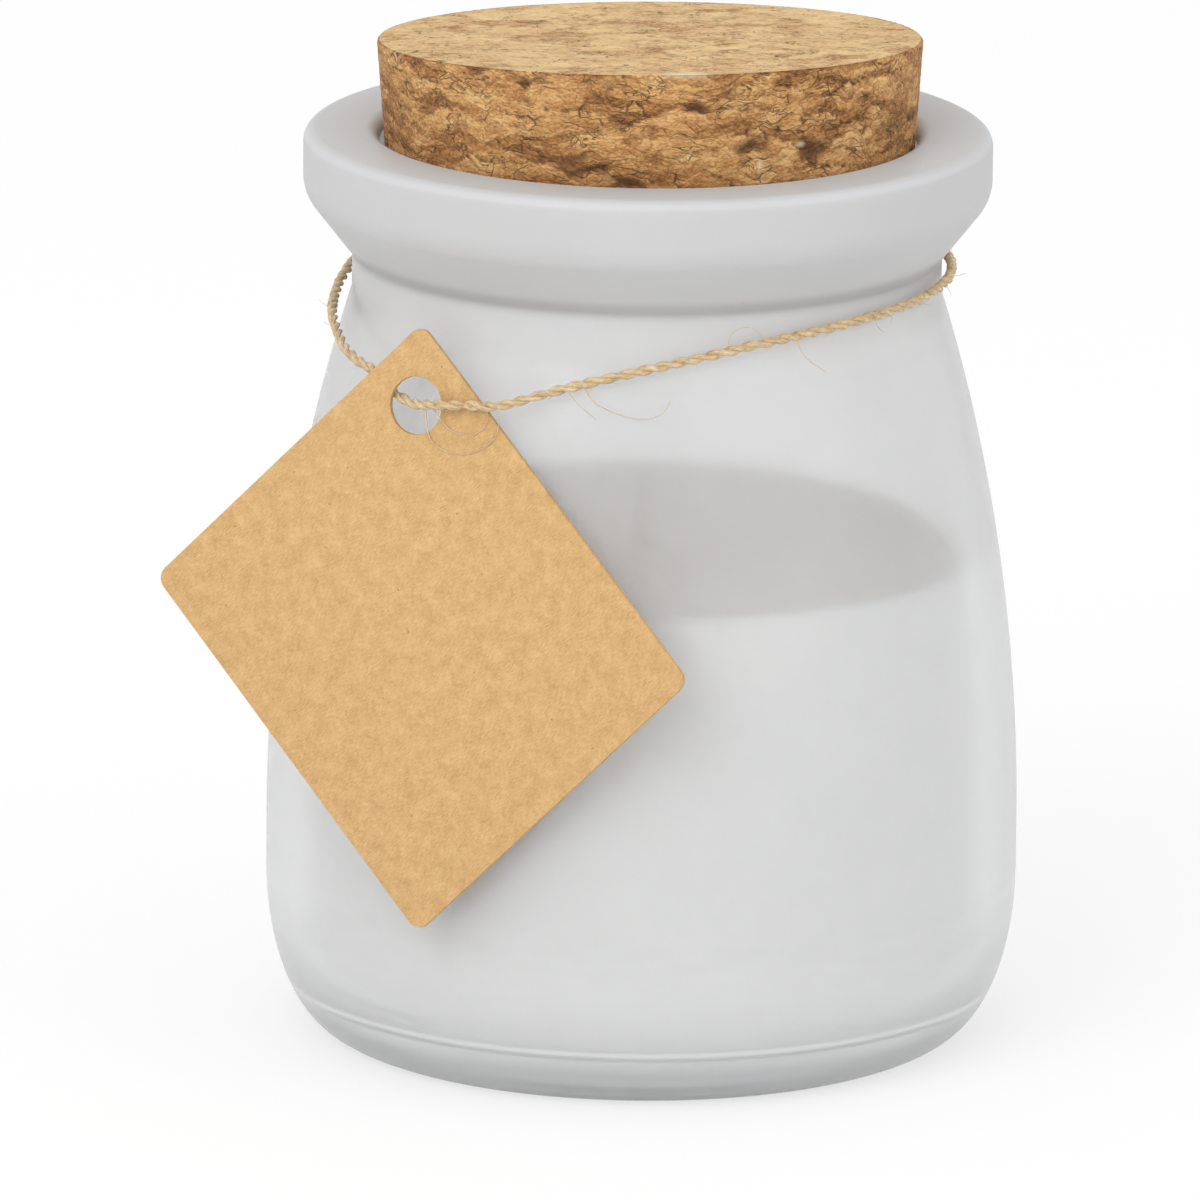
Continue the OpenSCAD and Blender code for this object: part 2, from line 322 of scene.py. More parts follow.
@dataclass(frozen=True)
class Cork:
    """Ground cork pressed with glue: flat granules with dark gaps between them, painted light atop
    each and painted shadow under each.
    """

    bark: Colour = (0.045, 0.019, 0.009)
    dark: Colour = (0.15, 0.062, 0.022)
    mid: Colour = (0.37, 0.17, 0.056)
    tan: Colour = (0.60, 0.342, 0.135)
    pale: Colour = (0.74, 0.52, 0.255)
    top_tan: Colour = (0.615, 0.405, 0.192)
    chip: Colour = (0.74, 0.62, 0.44)
    roughness: float = 0.8

    def make(self) -> bpy.types.Material:
        """Builds the cork from the granules stored in the mesh and finer flakes."""
        s = Shader("cork")
        place = s.coords(Coords.OBJECT)
        # The stored tone holds painted light on each flake's upper part; the stored gap holds the
        # dark joints, stains and painted shadow under each flake.
        tone = s.attribute("tone")
        gap = s.attribute("gap")
        top = s.attribute("top")
        wavy = s.warp(s.warp(place, 240.0, 0.0026), 900.0, 0.0008)
        flat = s.mapping(wavy, (1, 1, 3.5))
        ridges = s.maths("ABSOLUTE", s.maths("SUBTRACT", s.noise(flat, 300.0, 2.5, 0.5), 0.5))
        broken = s.span(s.noise(place, 380.0, 2.0), 0.42, 0.58)
        grain = s.noise(s.mapping(place, (1, 1, 2.0)), 2600.0, 4.0, 0.7)
        large, large_rim = self._flakes(s, flat, 290.0)
        small, small_rim = self._flakes(s, flat, 720.0)
        mixed = s.maths("ADD", s.maths("MULTIPLY", tone, 0.42),
                        s.maths("ADD", s.maths("MULTIPLY", large, 0.26),
                                s.maths("MULTIPLY", small, 0.18)))
        mixed = s.maths("ADD", mixed, s.span(grain, 0.25, 0.75, -0.1, 0.26), clamp=True)
        side = s.ramp(mixed, [(0.0, self.bark), (0.16, self.dark), (0.42, self.mid),
                              (0.7, self.tan), (1.0, self.pale)])
        # The top face takes a lighter ramp than the side, and its gaps and joints are drawn
        # fainter.
        ground = s.ramp(s.maths("ADD", mixed, 0.18, clamp=True),
                        [(0.0, self.dark), (0.35, self.mid), (0.62, self.top_tan),
                         (1.0, self.pale)])
        colour = s.blend(top, side, ground)
        thin = s.maths("MULTIPLY", s.span(ridges, 0.0, 0.016, 0.85, 0.0), broken)
        rims = s.maths("MULTIPLY", s.span(large_rim, 0.0, 0.05, 0.8, 0.0), broken)
        rims = s.maths("MAXIMUM", rims, s.span(small_rim, 0.0, 0.06, 0.4, 0.0))
        thin = s.maths("MAXIMUM", thin, s.maths("MULTIPLY", rims, s.span(top, 0.0, 1.0, 1.0, 0.35)))
        colour = s.blend(thin, colour, self.bark)
        # Gaps darken to bark: the dark joints, the stains and the painted shadow under each flake.
        dark_gaps_and_shadow = s.maths("MULTIPLY", gap, s.span(top, 0.0, 1.0, 0.85, 0.5))
        colour = s.blend(dark_gaps_and_shadow, colour, self.bark)
        pores = s.span(s.cells(place, 1500.0).outputs["Distance"], 0.1, 0.2, 0.4, 0.0)
        colour = s.blend(pores, colour, self.dark)
        colour = s.blend(s.maths("MULTIPLY", s.attribute("chip"), 0.65), colour, self.chip)
        relief = s.maths("SUBTRACT", grain, s.maths("MULTIPLY", thin, 0.6))
        bsdf = s.node("BsdfPrincipled", {
            "Base Color": colour, "Roughness": self.roughness,
            "Specular IOR Level": 0.25, "Normal": s.bump(relief, 0.00006)})
        return s.finish(bsdf.outputs[0])

    @staticmethod
    def _flakes(s: Shader, vector: bpy.types.NodeSocket,
                scale: float) -> tuple[bpy.types.NodeSocket, bpy.types.NodeSocket]:
        """Gives one size of flake.

        Args:
            s: The tree to add to.
            vector: Where the flakes are measured.
            scale: Flakes per metre.

        Returns:
            A number of its own for each flake, and the distance from the flake's rim.
        """
        cells = s.cells(vector, scale)
        own = s.node("SeparateColor", {0: cells.outputs["Color"]}).outputs[0]
        return own, s.cells(vector, scale, "DISTANCE_TO_EDGE").outputs["Distance"]


@dataclass(frozen=True)
class Wax:
    """Poured candle wax: dense white, light goes in a little way."""

    colour: Colour = (0.96, 0.957, 0.95)
    roughness: float = 0.38
    depth: float = 0.0025

    def make(self) -> bpy.types.Material:
        """Builds wax with a soft uneven skin."""
        s = Shader("wax")
        place = s.coords(Coords.OBJECT)
        soft = s.bump(s.noise(place, 160.0, 3.0), 0.00025)
        frost = s.bump(s.noise(place, 1400.0, 3.0), 0.00003, soft)
        cloud = s.ramp(s.noise(place, 220.0, 3.0),
                       [(0.3, tuple(c * 0.97 for c in self.colour)), (0.7, self.colour)])
        bsdf = s.node("BsdfPrincipled", {
            "Base Color": cloud, "Roughness": self.roughness, "IOR": 1.43,
            "Subsurface Weight": 0.5, "Subsurface Radius": (1.0, 0.9, 0.8),
            "Subsurface Scale": self.depth, "Normal": frost})
        return s.finish(bsdf.outputs[0])


@dataclass(frozen=True)
class WaxedCotton:
    """A plaited wick, stiff with wax."""

    thread: Colour = (0.92, 0.90, 0.86)
    shade: Colour = (0.78, 0.75, 0.69)

    def make(self) -> bpy.types.Material:
        """Builds threads that run along each strand."""
        s = Shader("cotton_wick")
        along = s.coords(Coords.UV, (9.0, 1.5, 1.0))
        threads = s.noise(along, 2.0, 2.0)
        bsdf = s.node("BsdfPrincipled", {
            "Base Color": s.ramp(threads, [(0.3, self.shade), (0.6, self.thread)]),
            "Roughness": 0.5, "Normal": s.bump(threads, 0.00006)})
        return s.finish(bsdf.outputs[0])


@dataclass(frozen=True)
class Tinplate:
    """Bright rolled sheet, as the wick's foot is pressed from."""

    colour: Colour = (0.74, 0.75, 0.76)

    def make(self) -> bpy.types.Material:
        """Builds sheet with fine rolling lines."""
        s = Shader("tinplate")
        lines = s.noise(s.coords(Coords.OBJECT, (1, 14, 1)), 300.0, 3.0)
        bsdf = s.node("BsdfPrincipled", {
            "Base Color": self.colour, "Metallic": 1.0,
            "Roughness": s.span(lines, 0.3, 0.7, 0.22, 0.4), "Normal": s.bump(lines, 0.00002)})
        return s.finish(bsdf.outputs[0])


@dataclass(frozen=True)
class KraftCard:
    """Uncoated kraft card: mottled, with specks of bark and pale fibres."""

    shade: Colour = (0.455, 0.276, 0.114)
    face: Colour = (0.565, 0.352, 0.156)
    light: Colour = (0.66, 0.433, 0.205)
    speck: Colour = (0.18, 0.10, 0.045)
    fibre: Colour = (0.68, 0.53, 0.34)

    def make(self) -> bpy.types.Material:
        """Builds the card from its UV map, which is in centimetres."""
        s = Shader("kraft_card")
        card = s.coords(Coords.UV)
        cloud = s.noise(card, 7.0, 5.0, 0.65)
        strands = [s.noise(s.mapping(card, (1.0, 5.0, 1.0), (0, 0, turn)), 22.0, 3.0, 0.6)
                   for turn in (0.3, 1.25, 2.4)]
        felt = s.maths("ADD", s.maths("ADD", strands[0], strands[1]), strands[2])
        mix = s.maths("ADD", s.maths("MULTIPLY", felt, 0.24), s.maths("MULTIPLY", cloud, 0.28))
        colour = s.ramp(mix, [(0.41, self.shade), (0.5, self.face), (0.59, self.light)])
        dots = s.cells(s.warp(card, 30.0, 0.03), 7.0)
        rare = s.node("SeparateColor", {0: dots.outputs["Color"]}).outputs[0]
        dark = s.maths("MULTIPLY", s.span(dots.outputs["Distance"], 0.03, 0.07, 0.75, 0.0),
                       s.span(rare, 0.45, 0.55))
        colour = s.blend(dark, colour, self.speck)
        threads = s.cells(s.warp(s.mapping(card, (1.0, 3.4, 1.0), (0, 0, 0.5)), 9.0, 0.25), 3.6)
        odd = s.node("SeparateColor", {0: threads.outputs["Color"]}).outputs[1]
        pale = s.maths("MULTIPLY", s.span(threads.outputs["Distance"], 0.03, 0.08, 0.6, 0.0),
                       s.span(odd, 0.72, 0.8))
        colour = s.blend(pale, colour, self.fibre)
        bsdf = s.node("BsdfPrincipled", {
            "Base Color": colour, "Roughness": 0.82, "Specular IOR Level": 0.2,
            "Normal": s.bump(mix, 0.00012)})
        return s.finish(bsdf.outputs[0])


@dataclass(frozen=True)
class Jute:
    """Spun jute: pale straw fibres with darker ones among them."""

    dark: Colour = (0.30, 0.185, 0.085)
    straw: Colour = (0.56, 0.41, 0.235)
    pale: Colour = (0.78, 0.64, 0.43)

    def make(self) -> bpy.types.Material:
        """Builds fibres that run along each ply. The UV map is in turns and diameters."""
        s = Shader("jute_twine")
        along = s.coords(Coords.UV, (1.0, 0.1, 1.0))
        fibres = s.noise(along, 9.0, 4.0, 0.65)
        patches = s.noise(s.coords(Coords.UV, (0.3, 0.25, 1.0)), 1.3, 2.0)
        mix = s.maths("ADD", s.maths("MULTIPLY", fibres, 0.75),
                      s.maths("MULTIPLY", patches, 0.3))
        colour = s.ramp(mix, [(0.34, self.dark), (0.52, self.straw), (0.72, self.pale)])
        bsdf = s.node("BsdfPrincipled", {
            "Base Color": colour, "Roughness": 0.75, "Specular IOR Level": 0.25,
            "Sheen Weight": 0.2, "Normal": s.bump(fibres, 0.00008)})
        return s.finish(bsdf.outputs[0])


# Modelling helpers


def deselect_all() -> None:
    """Leaves object mode with nothing selected."""
    if bpy.context.mode != "OBJECT":
        bpy.ops.object.mode_set(mode="OBJECT")
    bpy.ops.object.select_all(action="DESELECT")


def make_active(obj: bpy.types.Object) -> None:
    """Selects one object alone and makes it active."""
    deselect_all()
    obj.select_set(True)
    bpy.context.view_layer.objects.active = obj


def settle(obj: bpy.types.Object) -> None:
    """Puts an object's place, turn and size into its mesh."""
    make_active(obj)
    bpy.ops.object.transform_apply(location=True, rotation=True, scale=True)


def arc(centre: tuple[float, float], radius: float, start: float, end: float,
        steps: int) -> Profile:
    """Points of an arc, with its angles in degrees."""
    angles = (math.radians(start + (end - start) * i / steps) for i in range(steps + 1))
    return [(centre[0] + radius * math.cos(a), centre[1] + radius * math.sin(a))
            for a in angles]


def heel(centre: tuple[float, float], width: float, height: float, steps: int) -> Profile:
    """Points of a quarter ellipse from below its centre round to its side."""
    angles = (math.radians(90 * i / steps) for i in range(steps + 1))
    return [(centre[0] + width * math.sin(a), centre[1] - height * math.cos(a))
            for a in angles]


def lathe(name: str, profile: Profile, steps: int) -> bpy.types.Object:
    """Turns a profile round the Z axis.

    Args:
        name: The piece's name.
        profile: Radius and height of each point, in order.
        steps: Number of sides.

    Returns:
        The piece, smooth, with its place in its mesh.
    """
    deselect_all()
    first = profile[0]
    bpy.ops.mesh.primitive_plane_add(size=MM, location=(first[0], 0, first[1]))
    obj = bpy.context.object
    obj.name = name
    settle(obj)
    bpy.ops.object.mode_set(mode="EDIT")
    bpy.ops.mesh.select_mode(type="VERT")
    bpy.ops.mesh.select_all(action="SELECT")
    bpy.ops.mesh.merge(type="CENTER")
    for (r0, z0), (r1, z1) in zip(profile, profile[1:]):
        bpy.ops.mesh.extrude_region_move(
            TRANSFORM_OT_translate={"value": (r1 - r0, 0.0, z1 - z0)})
    bpy.ops.mesh.select_all(action="SELECT")
    bpy.ops.mesh.spin(steps=steps, angle=math.tau, center=(0, 0, 0), axis=(0, 0, 1))
    bpy.ops.mesh.select_all(action="SELECT")
    bpy.ops.mesh.remove_doubles(threshold=0.002 * MM)
    bpy.ops.mesh.normals_make_consistent(inside=False)
    bpy.ops.mesh.select_all(action="DESELECT")
    bpy.ops.object.mode_set(mode="OBJECT")
    make_active(obj)
    bpy.ops.object.shade_smooth()
    return obj


def smooth_route(points: Sequence[Vector], steps: int) -> list[Vector]:
    """Runs a curve through all points.

    Args:
        points: The points, in order.
        steps: Points of the curve from one to the next.

    Returns:
        The points of the curve, both ends included.
    """
    last = len(points) - 1
    route = []
    for i in range(last):
        a, b = points[max(i - 1, 0)], points[i]
        c, d = points[i + 1], points[min(i + 2, last)]
        for j in range(steps):
            t = j / steps
            route.append(0.5 * (2 * b + (c - a) * t + (2 * a - 5 * b + 4 * c - d) * t ** 2
                                + (3 * b - a - 3 * c + d) * t ** 3))
    route.append(points[last].copy())
    return route


def route_length(route: Sequence[Vector]) -> float:
    """Length of a line through points."""
    return sum((b - a).length for a, b in zip(route, route[1:]))


def resample(route: Sequence[Vector], pitch: float) -> list[Vector]:
    """Walks along a line in even steps.

    Args:
        route: The line's points.
        pitch: The length of a step, about.

    Returns:
        Points that lie evenly along the line, both ends included.
    """
    total = route_length(route)
    count = max(2, round(total / pitch))
    step = total / count
    result = [route[0].copy()]
    gone, wanted = 0.0, step
    for a, b in zip(route, route[1:]):
        part = (b - a).length
        while wanted <= gone + part and len(result) < count:
            result.append(a.lerp(b, (wanted - gone) / part))
            wanted += step
        gone += part
    result.append(route[-1].copy())
    return result


@dataclass
class Strands:
    """Collects round strands into one mesh, with a UV map of turns and diameters."""

    points: list[Vector] = field(default_factory=list)
    faces: list[tuple[int, ...]] = field(default_factory=list)
    uvs: list[tuple[float, float]] = field(default_factory=list)

    def add(self, route: Sequence[Vector], radius: Callable[[float], float],
            sides: int, start: float = 0.0) -> None:
        """Adds a strand.

        Args:
            route: The middle of the strand.
            radius: Its radius at a share of its length from 0 to 1.
            sides: Number of sides.
            start: Where its pattern starts along the UV map.
        """
        base = len(self.points)
        last = len(route) - 1
        thick = 2 * radius(0.5)
        across = Vector((0.31, 0.77, 0.56))
        gone = 0.0
        for i, middle in enumerate(route):
            along = (route[min(i + 1, last)] - route[max(i - 1, 0)]).normalized()
            across = (across - along * across.dot(along)).normalized()
            third = along.cross(across)
            gone += (middle - route[max(i - 1, 0)]).length
            size = radius(i / last)
            for k in range(sides):
                angle = math.tau * k / sides
                self.points.append(middle + size * (across * math.cos(angle)
                                                    + third * math.sin(angle)))
            if i:
                self._join(base + (i - 1) * sides, sides, start + gone / thick)
        self.faces.append(tuple(base + k for k in reversed(range(sides))))
        self.uvs.extend([(0.5, start)] * sides)
        self.faces.append(tuple(base + last * sides + k for k in range(sides)))
        self.uvs.extend([(0.5, start + gone / thick)] * sides)

    def _join(self, low: int, sides: int, along: float) -> None:
        """Joins a ring to the next one."""
        for k in range(sides):
            n = (k + 1) % sides
            self.faces.append((low + k, low + n, low + sides + n, low + sides + k))
            left, right = k / sides, (k + 1) / sides
            back = along - 0.3
            self.uvs.extend([(left, back), (right, back), (right, along), (left, along)])

    def build(self, name: str) -> bpy.types.Object:
        """Makes the mesh object.

        Args:
            name: The piece's name.

        Returns:
            The piece.
        """
        mesh = bpy.data.meshes.new(name)
        mesh.from_pydata([tuple(p) for p in self.points], [], self.faces)
        layer = mesh.uv_layers.new(name="Strand")
        for loop, uv in zip(layer.data, self.uvs):
            loop.uv = uv
        mesh.polygons.foreach_set("use_smooth", [True] * len(mesh.polygons))
        mesh.update()
        obj = bpy.data.objects.new(name, mesh)
        bpy.context.scene.collection.objects.link(obj)
        return obj


def dress(obj: bpy.types.Object, *materials: bpy.types.Material) -> None:
    """Gives an object its materials in place of what it had."""
    obj.data.materials.clear()
    for material in materials:
        obj.data.materials.append(material)


def place(obj: bpy.types.Object, body: str, slot: Slot, *nodes: str) -> None:
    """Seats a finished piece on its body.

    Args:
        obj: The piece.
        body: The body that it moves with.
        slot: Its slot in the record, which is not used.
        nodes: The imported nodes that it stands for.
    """
    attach(obj, body)
    if nodes:
        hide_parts(*nodes)
    log.info("%s: %d faces, on %s", obj.name, len(obj.data.polygons), body)


# Studio


@dataclass
class Camera:
    """The viewpoint, found by fitting the jar's outline."""

    at: tuple[float, float, float] = (-0.00382, -1.200, 0.33932)
    pitch: float = 14.103
    roll: float = 0.537
    focal_pixels: float = 14110.0
    sensor: float = 36.0

    def build(self) -> None:
        """Makes the camera and looks through it."""
        data = bpy.data.cameras.new("photo_camera")
        data.sensor_width = self.sensor
        data.lens = self.sensor * self.focal_pixels / PHOTO_WIDTH
        data.clip_start = 0.01
        camera = bpy.data.objects.new("photo_camera", data)
        camera.matrix_world = (Matrix.Translation(self.at)
                               @ Matrix.Rotation(math.radians(90 - self.pitch), 4, "X")
                               @ Matrix.Rotation(math.radians(self.roll), 4, "Z"))
        bpy.context.scene.collection.objects.link(camera)
        bpy.context.scene.camera = camera


@dataclass
class Studio:
    """A white table, a soft lamp at the upper left, a weak one at the right and a white room."""

    floor_size: float = 8.0
    floor_colour: Colour = (0.88, 0.88, 0.88)
    floor_glow: float = 0.65
    world_light: float = 0.98
    # Place, diameter and power of each soft lamp
    lamps: tuple = (((-0.50, -0.78, 0.75), 0.85, 4.6), ((0.85, -0.85, 0.30), 1.4, 2.7))

    def build(self) -> None:
        """Makes the floor, the lamps and the world."""
        bpy.context.scene.view_settings.view_transform = "Standard"
        self._floor()
        for number, (at, size, power) in enumerate(self.lamps):
            self._lamp(number, at, size, power)
        self._world()

    @staticmethod
    def _direct_view(s: Shader) -> bpy.types.NodeSocket:
        """Gives 1 for what is seen straight, in a mirror or through glass."""
        path = s.node("LightPath", {})
        seen = s.maths("ADD", path.outputs["Is Camera Ray"], path.outputs["Is Glossy Ray"])
        return s.maths("ADD", seen, path.outputs["Is Transmission Ray"], clamp=True)

    def _floor(self) -> None:
        """Makes the table, which glows a little towards the camera but keeps shadows."""
        deselect_all()
        bpy.ops.mesh.primitive_plane_add(size=self.floor_size, location=(0, 0, 0))
        floor = bpy.context.object
        floor.name = "floor"
        s = Shader("floor_white")
        lit = s.node("BsdfDiffuse", {"Color": self.floor_colour})
        glow = s.node("Emission", {"Color": (1, 1, 1), "Strength": 1.0})
        share = s.maths("MULTIPLY", self._direct_view(s), self.floor_glow)
        mixed = s.node("MixShader", {0: share, 1: lit.outputs[0], 2: glow.outputs[0]})
        dress(floor, s.finish(mixed.outputs[0]))

    @staticmethod
    def _lamp(number: int, at: Sequence[float], size: float, power: float) -> None:
        """Makes a soft lamp, aimed at the middle of the jar."""
        data = bpy.data.lights.new(f"lamp_{number}", "AREA")
        data.shape = "DISK"
        data.size = size
        data.energy = power
        lamp = bpy.data.objects.new(data.name, data)
        lamp.location = at
        aim = Vector((0, 0, 0.04)) - Vector(at)
        lamp.rotation_euler = aim.to_track_quat("-Z", "Y").to_euler()
        bpy.context.scene.collection.objects.link(lamp)

    def _world(self) -> None:
        """Makes even light, white where it is seen."""
        world = bpy.data.worlds.new("studio")
        bpy.context.scene.world = world
        world.use_nodes = True
        nodes, links = world.node_tree.nodes, world.node_tree.links
        nodes.clear()
        sky = nodes.new("ShaderNodeBackground")
        sky.inputs["Color"].default_value = (1, 1, 1, 1)
        sky.inputs["Strength"].default_value = self.world_light
        out = nodes.new("ShaderNodeOutputWorld")
        links.new(sky.outputs[0], out.inputs["Surface"])


# The object's own pieces


@dataclass
class Jar:
    """The glass jar."""

    body_r: float = 0.033
    height: float = 0.0802
    wall: float = 0.0026
    floor: float = 0.0044
    heel_w: float = 0.0064
    heel_h: float = 0.0142
    foot_w: float = 0.0025
    pushup: float = 0.0016
    inner_heel_w: float = 0.0045
    inner_heel_h: float = 0.007
    belly: float = 0.0185
    mouth_r: float = 0.0234
    neck_wall: float = 0.0023
    lip_reach: float = 0.0043
    neck_h: float = 0.003
    lip_h: float = 0.0112
    flare: float = 38.0
    bulge_r: float = 0.0037
    rim_outer: float = 0.0012
    rim_inner: float = 0.0012
    neck_fillet: float = 0.001
    sides: int = 192

    def __post_init__(self) -> None:
        """Works out the radii and heights that follow from the others."""
        self.neck_r = self.mouth_r + self.neck_wall
        self.lip_r = self.neck_r + self.lip_reach
        self.foot_r = self.body_r - self.heel_w
        self.lip_z = self.height - self.lip_h
        self.neck_z = self.lip_z - self.neck_h
        rise, draw = self.neck_z - self.belly, self.body_r - self.neck_r
        self.shoulder_r = (rise ** 2 + draw ** 2) / (2 * draw)
        self.shoulder_x = self.body_r - self.shoulder_r
        inside = self.shoulder_r - self.wall
        self.bore_z = self.belly + math.sqrt(inside ** 2
                                             - (self.mouth_r - self.shoulder_x) ** 2)

    def inside(self, top: float, gap: float = 0.0, steps: int = 28) -> Profile:
        """Inside of the glass from the floor up.

        Args:
            top: Height at which it ends.
            gap: How far it is drawn in.
            steps: Points along the side.

        Returns:
            The profile.
        """
        radius = self.shoulder_r - self.wall - gap
        corner = (self.body_r - self.wall - self.inner_heel_w, self.floor + self.inner_heel_h)
        side = []
        for i in range(steps + 1):
            z = self.belly + (top - self.belly) * i / steps
            side.append((self.shoulder_x + math.sqrt(radius ** 2 - (z - self.belly) ** 2), z))
        return heel(corner, self.inner_heel_w - gap, self.inner_heel_h - gap, 14) + side

    def _under(self) -> Profile:
        """Hollow under the jar, from the axis to the standing ring."""
        reach = self.foot_r - self.foot_w
        radius = (reach ** 2 + self.pushup ** 2) / (2 * self.pushup)
        places = (reach * i / 12 for i in range(13))
        return [(x, self.pushup - radius + math.sqrt(radius ** 2 - x ** 2)) for x in places]

    def _lip(self) -> Profile:
        """Outside of the lip, from the neck over the rim to the bore."""
        turn = math.radians(self.flare)
        both = self.bulge_r + self.neck_fillet
        bulge_z = (self.lip_z + both * math.sin(turn)
                   + (self.lip_reach - both * (1 - math.cos(turn))) / math.tan(turn))
        return (arc((self.neck_r + self.neck_fillet, self.lip_z), self.neck_fillet,
                    180, 180 - self.flare, 6)
                + arc((self.lip_r - self.bulge_r, bulge_z), self.bulge_r, -self.flare, 0, 12)
                + arc((self.lip_r - self.rim_outer, self.height - self.rim_outer),
                      self.rim_outer, 0, 90, 14)
                + arc((self.mouth_r + self.rim_inner, self.height - self.rim_inner),
                      self.rim_inner, 90, 180, 8))

    def build(self) -> None:
        """Turns the jar, etches its outside and seats it."""
        turn = math.degrees(math.asin((self.neck_z - self.belly) / self.shoulder_r))
        outline = (self._under()
                   + heel((self.foot_r, self.heel_h), self.heel_w, self.heel_h, 20)
                   + arc((self.shoulder_x, self.belly), self.shoulder_r, 0, turn, 30)
                   + self._lip()
                   + list(reversed(self.inside(self.bore_z)))
                   + [(0.0, self.floor)])
        jar = lathe("jar_glass", outline, self.sides)
        dress(jar, FrostedGlass().make(), ClearGlass().make())
        for face in jar.data.polygons:
            at, out = face.center, face.center.xy.dot(face.normal.xy)
            on_floor = face.normal.z > 0.5 and at.z < self.floor + self.inner_heel_h
            on_wall = out < 0 and self.pushup < at.z < self.height - self.rim_inner
            face.material_index = 1 if on_floor or on_wall else 0
        place(jar, "jar", Slot.GLASS, "glass_jar")


@dataclass
class Candle:
    """The poured wax and its plaited wick."""

    jar: Jar
    depth: float = 0.0386
    gap: float = 0.00005
    climb_h: float = 0.0006
    climb_w: float = 0.002
    wick_d: float = 0.0018
    wick_out: float = 0.007
    sheet: float = 0.0004
    foot_d: float = 0.015
    collar_h: float = 0.005
    plait_pitch: float = 0.0036
    strand_r: float = 0.00042

    def build(self) -> None:
        """Makes the wax and the wick and finishes the wick's foot."""
        self._wax()
        self._wick()
        dress_node("wick_sustainer", Tinplate().make())

    def _wax(self) -> None:
        """Turns the wax, which climbs a little where it meets glass and wick."""
        top = self.jar.floor + self.depth
        outside = self.jar.inside(top + self.climb_h, self.gap)
        edge = outside[-1][0]
        bore = self.wick_d / 2 + self.gap
        collar = bore + self.sheet
        disc = self.foot_d / 2 + self.gap
        climb = [(edge - self.climb_w * t, top + self.climb_h * (1 - t) ** 2)
                 for t in (i / 8 for i in range(1, 9))]
        at_wick = [(bore + 0.0012 * (1 - t), top + 0.0003 * t ** 2)
                   for t in (i / 4 for i in range(5))]
        low = self.jar.floor + self.gap
        outline = ([(disc, low)] + outside + climb + at_wick
                   + [(bore, low + self.collar_h), (collar, low + self.collar_h),
                      (collar, low + self.sheet), (disc, low + self.sheet), (disc, low)])
        wax = lathe("poured_wax", outline, 128)
        dress(wax, Wax().make())
        place(wax, "jar", Slot.WAX, "wax_fill")

    def _wick(self) -> None:
        """Plaits three strands up the middle."""
        bottom = self.jar.floor
        top = self.jar.floor + self.depth + self.wick_out
        strands = Strands()
        steps = round((top - bottom) / (0.3 * MM))
        for phase in range(3):
            route = []
            for i in range(steps + 1):
                z = bottom + (top - bottom) * i / steps
                turn = math.tau * (z / self.plait_pitch + phase / 3)
                route.append(Vector((0.00044 * math.sin(turn), 0.00024 * math.sin(2 * turn), z)))
            strands.add(route, lambda t: self.strand_r * min(1.0, 0.55 + (1 - t) * 60), 10,
                        phase * 7.0)
        wick = strands.build("plaited_wick")
        dress(wick, WaxedCotton().make())
        place(wick, "jar", Slot.WICK, "wick")


def dress_node(node: str, material: bpy.types.Material) -> None:
    """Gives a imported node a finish, without changing its mesh."""
    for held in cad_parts[node].material_slots:
        held.link = "OBJECT"
        held.material = material


